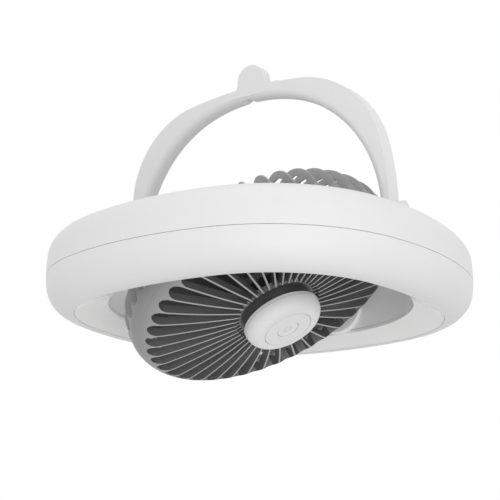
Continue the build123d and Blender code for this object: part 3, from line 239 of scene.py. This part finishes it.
# painted shade: the rim, the side wall of each cage, is painted darker than the faces
RIM_PAINTED_SHADE = 0.265
# painted shadow: the neck under the cap is painted near black as the shadow of the gap
HUB_PAINTED_SHADOW = 0.08
HUB_START = 23.8 * MM
HUB_END = 24.8 * MM
RIM_START = 76 * MM
RIM_END = 88 * MM
# the stops of a ramp lie between 0 and 1, so distances up to 200 mm are multiplied by this
RAMP_PER_METRE = 5


def outward(finish, reach, start, end, first, last):
    """A level that goes from first to last between two distances from the fan's axis."""
    stops = ((start * RAMP_PER_METRE, first), (end * RAMP_PER_METRE, last))
    return finish.ramp(reach * RAMP_PER_METRE, *stops)


def caged(name, painted_face_light, painted_flank_shade):
    finish = Finish(name)
    arm = finish.vector("SUBTRACT", finish.place(), ring_centre)
    round_axis = finish.vector("CROSS_PRODUCT", fan_axis, arm)
    reach = finish.vector("LENGTH", round_axis, output="Value")
    turning = finish.vector("NORMALIZE", round_axis)
    normal = finish.node("ShaderNodeTexCoord", output="Normal")
    along_turn = finish.vector("DOT_PRODUCT", normal, turning, "Value")
    # painted shade: a flank is painted darker the more its normal turns round the fan's axis, and it is also
    # rougher
    flank = finish.ramp(along_turn * along_turn, (FLANK_FROM, 0), (FLANK_FULL, 1))
    # masks by distance from the axis: painted shade towards the rim, painted shadow on the neck under the
    # cap
    rim = outward(finish, reach, RIM_START, RIM_END, 0, 1)
    hub_shadow_mask = outward(finish, reach, HUB_START, HUB_END, 1, 0)
    # the faces carry painted light and turn to the rim's painted shade; the flanks carry painted shade
    face = finish.tint(rim, grey(painted_face_light), grey(RIM_PAINTED_SHADE))
    fin = finish.tint(flank, face, grey(painted_flank_shade))
    rough = FACE_ROUGH + FLANK_ROUGHER * flank
    roughness, normals = mould_skin(finish, CAGE_CLOUD, CAGE_GRAIN, rough, CAGE_DEPTH)[1:]
    finish.vary(Base_Color=finish.tint(hub_shadow_mask, fin, grey(HUB_PAINTED_SHADOW)), Roughness=roughness, Normal=normals)
    return finish.material


front_cage = caged("front_cage", painted_face_light=0.40, painted_flank_shade=0.115)
# painted light: the rear cage is the same grey plastic, painted paler all round than the front
rear_cage = caged("rear_cage", painted_face_light=0.48, painted_flank_shade=0.44)
print("cages:", front_cage.name, "and", rear_cage.name)

# %% [markdown]
# The middle key carries a thin printed sign for switching on and off: an open ring with a stroke in
# its gap. Raised lines would need a shape of their own and a transfer would need an image, while print
# has no height. So distances from the key's middle, measured in its own plane, draw both.

# %% Printed key
MARK_R = 2.3 * MM
HALF_LINE = 0.22 * MM
HALF_GAP = 0.8 * MM
STROKE_START = 0.6 * MM
STROKE_END = 3.0 * MM
KEY_CLOUD = 30
KEY_SHADES = (0.79, 0.81)
INK = 0.52


def printed_key(name):
    finish = Finish(name)
    arm = finish.vector("SUBTRACT", finish.place(), ring_centre)
    across = finish.vector("DOT_PRODUCT", arm, tilt_axis, "Value")
    along = finish.vector("DOT_PRODUCT", arm, fan_axis.cross(tilt_axis), "Value")
    reach = (across * across + along * along).root()
    ring = abs(reach - MARK_R) < HALF_LINE
    gap = (abs(across) < HALF_GAP) * (along > 0)
    stroke = (abs(across) < HALF_LINE) * (along > STROKE_START) * (along < STROKE_END)
    sign = (ring * (1 - gap)).either(stroke)
    clouds, roughness, normal = mould_skin(finish, KEY_CLOUD, CAP_GRAIN, CAP_ROUGH, CAP_DEPTH)
    plain = finish.tint(clouds, *map(grey, KEY_SHADES))
    finish.vary(Base_Color=finish.tint(sign, plain, grey(INK)), Roughness=roughness, Normal=normal)
    return finish.material


power_sign = printed_key("power_sign")
print("inked line is", 2 * HALF_LINE / MM, "mm wide")

# %% [markdown]
# Screws, axles and the motor are bare metal, and the boards, the cells and the magnet have a thin
# coat. Little of them shows, so one function serves each family. Metals are told apart by colour, by
# gloss and by the size of a fine uneven grain, and coated pieces are two close colours in patches.

# %% Metals and coated pieces
METAL_GRAIN_SWING = 0.18
METAL_DEPTH = 0.002
STAIN_SIZE = 8
STAIN_SWING = 0.08
PATCH_SWING = 0.15
COAT_DEPTH = 0.004


def metal(name, colour, rough, grain=0.2, spread=0.06):
    """Bare metal with an uneven grain of about that width in millimetres."""
    finish = Finish(name, Metallic=1.0)
    texture = finish.noise(grain * MM, detail=4, rough=0.7)
    stains = finish.noise(STAIN_SIZE * MM)
    dark = tuple(c * (1 - spread) for c in colour)
    finish.vary(
        Base_Color=finish.tint(stains, dark, colour),
        Roughness=rough + texture.swing(METAL_GRAIN_SWING) + stains.swing(STAIN_SWING),
        Normal=finish.bump(texture, METAL_DEPTH * MM),
    )
    return finish.material


def coated(name, dark, light, rough, patch=1.2):
    """Solder mask, shrink wrap, phosphor or a fired magnet: two close colours in patches."""
    finish = Finish(name, Coat_Weight=0.2)
    patches = finish.noise(patch * MM, detail=4, rough=0.6)
    finish.vary(
        Base_Color=finish.tint(patches, dark, light),
        Roughness=rough + patches.swing(PATCH_SWING),
        Normal=finish.bump(patches, COAT_DEPTH * MM),
    )
    return finish.material


FINISHES = {
    "white_plastic": white_satin,
    "grey_plastic": front_cage,
    "dark_plastic": blade_grey,
    "milky_plastic": milky,
    "nylon": nylon,
    "steel": metal("bright_steel", (0.62, 0.62, 0.63), rough=0.32),
    "socket_shell": metal("nickel_shell", (0.66, 0.64, 0.60), rough=0.26),
    "can_steel": metal("zinc_can", (0.55, 0.56, 0.58), rough=0.40, grain=0.4),
    "magnet": coated("sintered_magnet", (0.03, 0.03, 0.032), (0.06, 0.06, 0.063), rough=0.55),
    "laminations": metal("stacked_sheet", (0.30, 0.31, 0.33), rough=0.45, grain=0.5),
    "copper_wire": metal("enamelled_copper", (0.60, 0.24, 0.10), rough=0.35, grain=0.35, spread=0.25),
    "green_board": coated("green_mask", (0.01, 0.10, 0.035), (0.015, 0.16, 0.055), rough=0.35),
    "white_board": coated("white_mask", (0.68, 0.68, 0.66), (0.76, 0.76, 0.74), rough=0.40),
    "lamp": coated("phosphor", (0.72, 0.60, 0.14), (0.80, 0.68, 0.20), rough=0.45, patch=0.5),
    "cell_wrap": coated("blue_wrap", (0.02, 0.09, 0.26), (0.03, 0.13, 0.34), rough=0.30, patch=6),
    "cable_cover": wire_cover,
}
print("kinds of finish:", len(FINISHES))

# %% [markdown]
# The record gives every piece a kind of material, which picks its finish. A few pieces stand out from
# their kind on the real fan, such as the glossier band round the opening, so they have their own. That
# band and the pivot bosses are also painted a lighter white than the housings, as painted light.

# %% Give every piece its finish
OWN_FINISHES = {
    "rear_grille": rear_cage,
    "hub_cap": cap_white,
    "hub_collar": cap_white,
    "selector_ring": cap_white,
    "power_button": power_sign,
    "inner_wall": gloss_white_painted_light,
    "pivot_bosses": gloss_white_painted_light,
}
node_slots = {part["node"]: part["material_slot"] for part in frame["record"]["subparts"]}
for name, obj in frame["nodes"].items():
    obj.data.materials.clear()
    obj.data.materials.append(OWN_FINISHES.get(name, FINISHES[node_slots[name]]))
print("finishes in use:", len({obj.data.materials[0].name for obj in frame["nodes"].values()}))

# %% [markdown]
# ## The camera
# The fan is seen from a little below and from the side. A camera could be placed by eye, but angles and
# a distance from the middle of the ring say plainly where it stands, and three small turns then aim it.

# %% Camera at the photograph's angle
CAMERA_AZIMUTH = 35.0
CAMERA_DROP = 14.76
CAMERA_DISTANCE = 0.7678
AIM_YAW = -0.5
AIM_PITCH = 1.3
AIM_ROLL = 0.15
FOCAL_PIXELS = 1238.1
IMAGE_PIXELS = 500
SENSOR_MM = 36.0


def turn_pair(first, second, angle):
    """Two axes turned in their own plane, the first towards the second."""
    a = radians(angle)
    return first * cos(a) + second * sin(a), second * cos(a) - first * sin(a)


around = Matrix.Rotation(radians(CAMERA_AZIMUTH), 3, "Z")
drop = radians(CAMERA_DROP)
stand = around @ Vector((0, -cos(drop), -sin(drop))) * CAMERA_DISTANCE
right = around @ Vector((1, 0, 0))
ahead = -stand.normalized()
up = right.cross(ahead)
ahead, right = turn_pair(ahead, right, AIM_YAW)
ahead, up = turn_pair(ahead, up, AIM_PITCH)
right, up = turn_pair(right, up, AIM_ROLL)
camera_data = bpy.data.cameras.new("camera")
camera_data.sensor_width = SENSOR_MM
camera_data.lens = FOCAL_PIXELS / IMAGE_PIXELS * SENSOR_MM
camera = bpy.data.objects.new("camera", camera_data)
camera_axes = Matrix((right, up, -ahead)).transposed().to_4x4()
camera.matrix_world = Matrix.Translation(ring_centre + stand) @ camera_axes
bpy.context.scene.collection.objects.link(camera)
bpy.context.scene.camera = camera
print("camera stands at", [round(v, 3) for v in camera.location])

# %% [markdown]
# ## The studio
# The fan is photographed against plain white. More light on the fan would bleach it, so the white comes
# from the sky alone: what the camera, a mirror or clear plastic sees of it is white, while the light
# that it gives is a little lower and keeps the shadows open.

# %% Sky
SKY_LIGHT = 0.80
WHITE = (1, 1, 1, 1)


def seen_directly(network):
    """1 for rays that end in the camera, a mirror or clear plastic, 0 for rays that light things."""
    kinds = ("Camera", "Glossy", "Transmission")
    total, *others = (network.node("ShaderNodeLightPath", output=f"Is {kind} Ray") for kind in kinds)
    for ray in others:
        total = network.node("ShaderNodeMath", {"operation": "ADD", "use_clamp": True}, {0: total, 1: ray})
    return total


def studio_world():
    world = bpy.data.worlds.new("studio")
    bpy.context.scene.world = world
    world.use_nodes = True
    network = Network(world.node_tree)
    sky = network.tree.nodes["Background"]
    sky.inputs["Color"].default_value = WHITE
    sky.inputs["Strength"].default_value = SKY_LIGHT
    backdrop = network.node("ShaderNodeBackground", inputs={"Color": WHITE, "Strength": 1.0})
    shown = {0: seen_directly(network), 1: Flow(network, sky.outputs[0]), 2: backdrop}
    chosen = network.node("ShaderNodeMixShader", inputs=shown)
    network.tree.links.new(chosen.socket, network.tree.nodes["World Output"].inputs["Surface"])
    return world


print("sky:", studio_world().name, "with light", SKY_LIGHT)

# %% [markdown]
# Three wide soft panels give the round edges their slow change of tone: one hangs overhead, one stands
# to the right of the camera, and one below it reaches the light cone and the band behind it. Small
# lamps would give hard spots. The camera doesn't see the panels.

# %% Soft panels


def panel(name, offset, size, power):
    """A square soft light that faces the fan from an offset; metres and watts."""
    light = bpy.data.lights.new(name, "AREA")
    light.size = size
    light.energy = power
    lamp = bpy.data.objects.new(name, light)
    lamp.location = ring_centre + offset
    lamp.rotation_euler = (-offset).to_track_quat("-Z", "Y").to_euler()
    lamp.visible_camera = False
    bpy.context.scene.collection.objects.link(lamp)
    return lamp


overhead = Vector((0.1, -0.2, 1.3))
beside_camera = stand * 1.1 + right * 0.9 + Vector((0, 0, 0.25))
below_camera = stand * 1.2 + right * 0.1 - Vector((0, 0, 0.08))
lamps = [
    panel("overhead_panel", overhead, size=1.2, power=2.5),
    panel("right_panel", beside_camera, size=0.9, power=0.6),
    panel("low_panel", below_camera, size=0.9, power=3.0),
]
print("panels:", [lamp.name for lamp in lamps])

# %% [markdown]
# The fan hangs, so nothing stands under it. A wide sheet far below gives it the pale ground of a studio
# without a shadow close by, and lies low enough that no panel cuts through it.

# %% Floor
FLOOR_DROP = 1.3
FLOOR_SIZE = 40.0
half_floor = FLOOR_SIZE / 2
floor_height = ring_centre.z - FLOOR_DROP
corner_signs = ((-1, -1), (1, -1), (1, 1), (-1, 1))
corners = [(x * half_floor, y * half_floor, floor_height) for x, y in corner_signs]
floor_mesh = bpy.data.meshes.new("floor")
floor_mesh.from_pydata(corners, [], [(0, 1, 2, 3)])
floor = bpy.data.objects.new("floor", floor_mesh)
bpy.context.scene.collection.objects.link(floor)
floor_mesh.materials.append(moulded("floor_paper", shade=0.82, grain=2, rough=0.8, spread=0.005, depth=0.01))
bpy.context.scene.view_settings.view_transform = "Standard"
print("floor lies", FLOOR_DROP, "m below the ring's centre")
